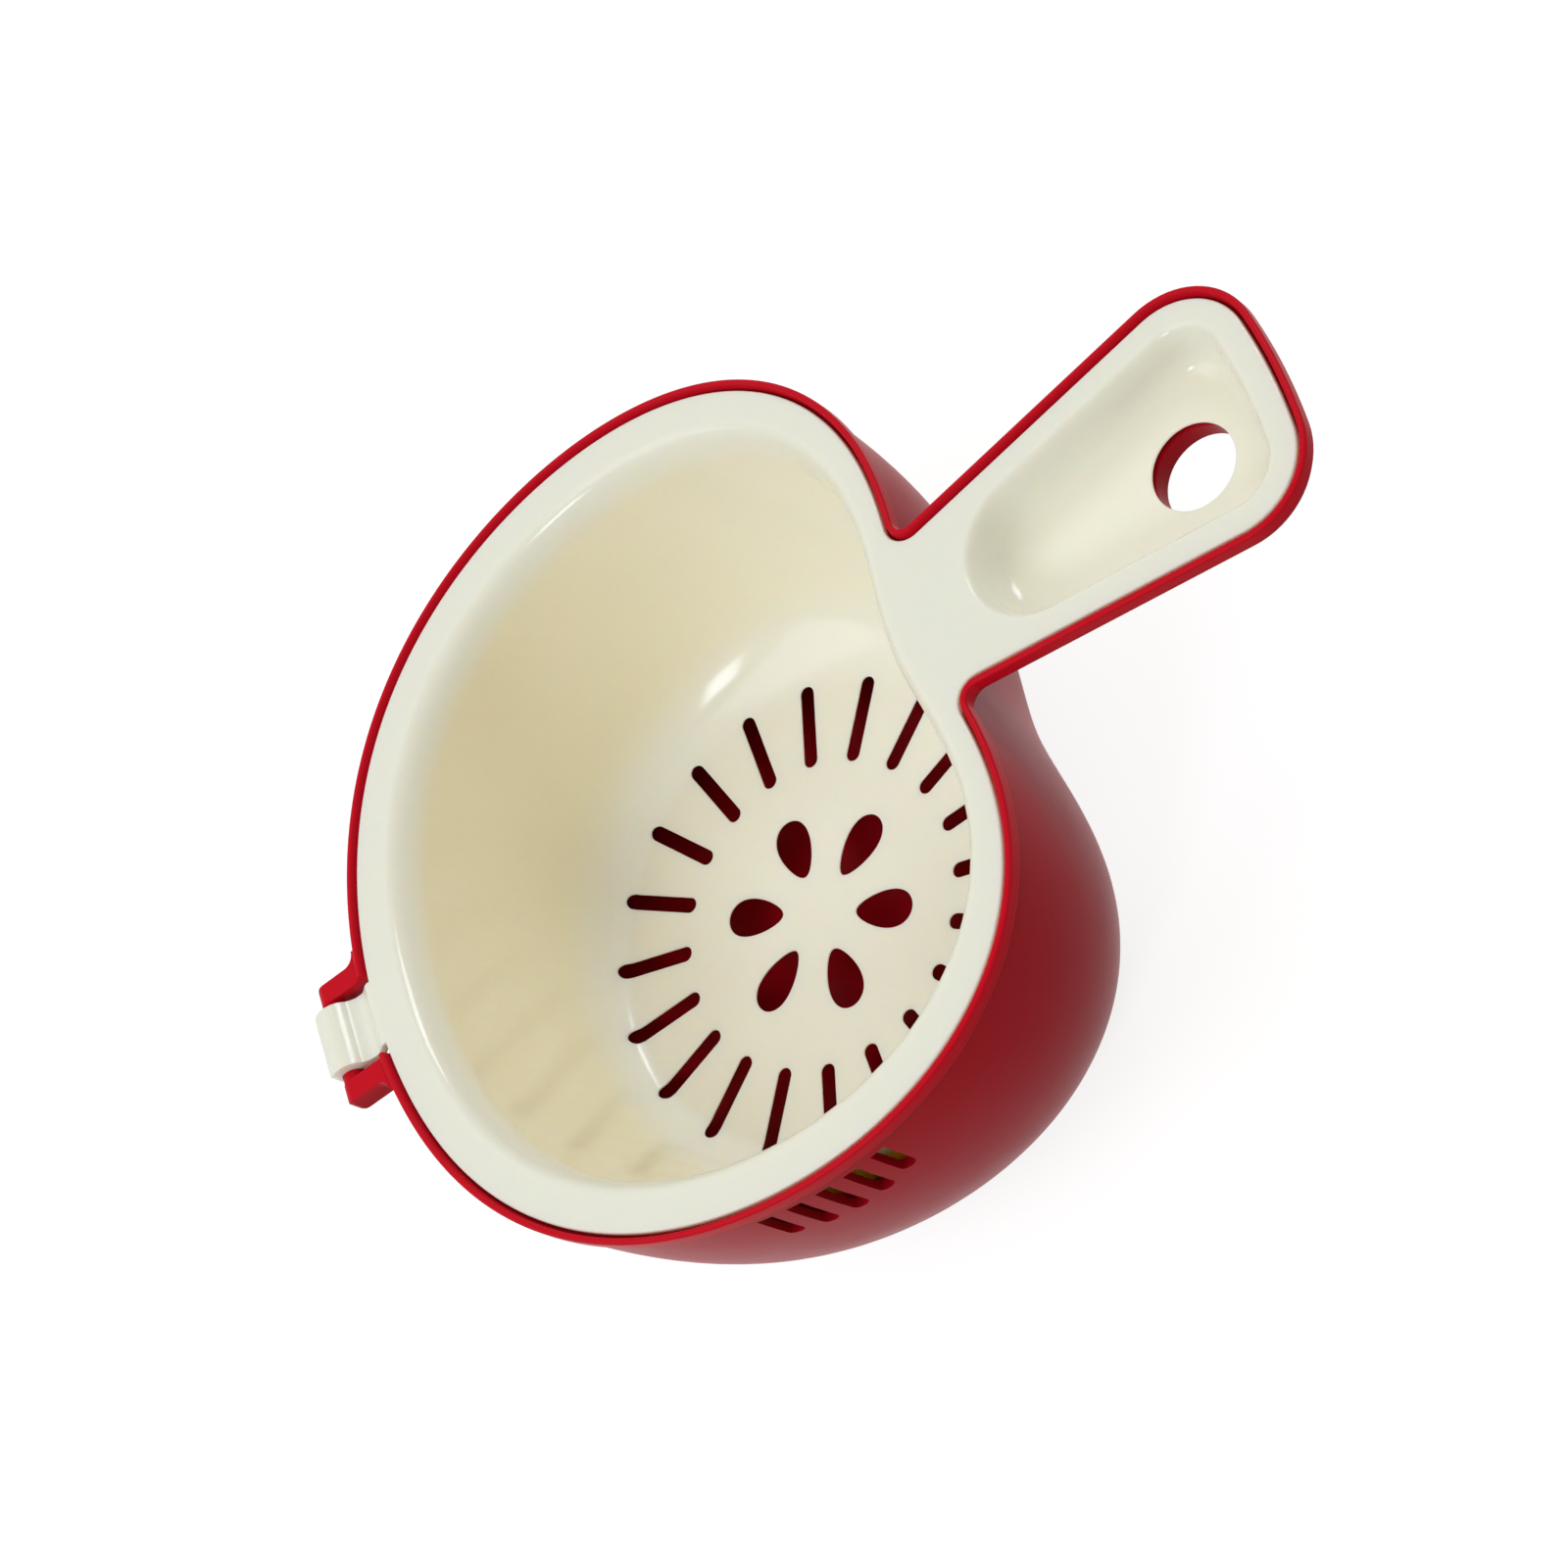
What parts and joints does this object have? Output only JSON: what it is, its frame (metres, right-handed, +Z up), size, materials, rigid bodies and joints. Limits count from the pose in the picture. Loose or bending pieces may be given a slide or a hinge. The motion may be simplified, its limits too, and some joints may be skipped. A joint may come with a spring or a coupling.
{
  "type": "double-layer draining basket",
  "caption": "Apple-shaped draining basket: a perforated cream strainer nests in a red bowl, both with handles, and flips up on a snap hinge opposite the handle.",
  "frame": {"origin": "centre of the bowl's flat base, on the axis of the strainer's floor pattern", "axes": "+Z up, +X towards the handles, hinge at -X, drain slots at -Y"},
  "size_m": [0.2307, 0.1696, 0.0716],
  "materials": {
    "bowl_plastic": "semi-gloss moulded polypropylene, deep apple red",
    "strainer_plastic": "semi-gloss moulded polypropylene, warm cream"
  },
  "bodies": {
    "outer_bowl": {"bowl": "bowl_plastic", "bowl_handle": "bowl_plastic", "hinge_lugs": "bowl_plastic", "hinge_pin": "bowl_plastic"},
    "inner_strainer": {"strainer": "strainer_plastic", "strainer_handle": "strainer_plastic", "hinge_hook": "strainer_plastic"}
  },
  "joints": [
    {"name": "strainer_flip", "type": "hinge", "parent": "outer_bowl", "child": "inner_strainer", "pos_m": [-0.0785, 0, 0.067], "axis": [0, -1, 0], "range_deg": [0, 180]}
  ]
}
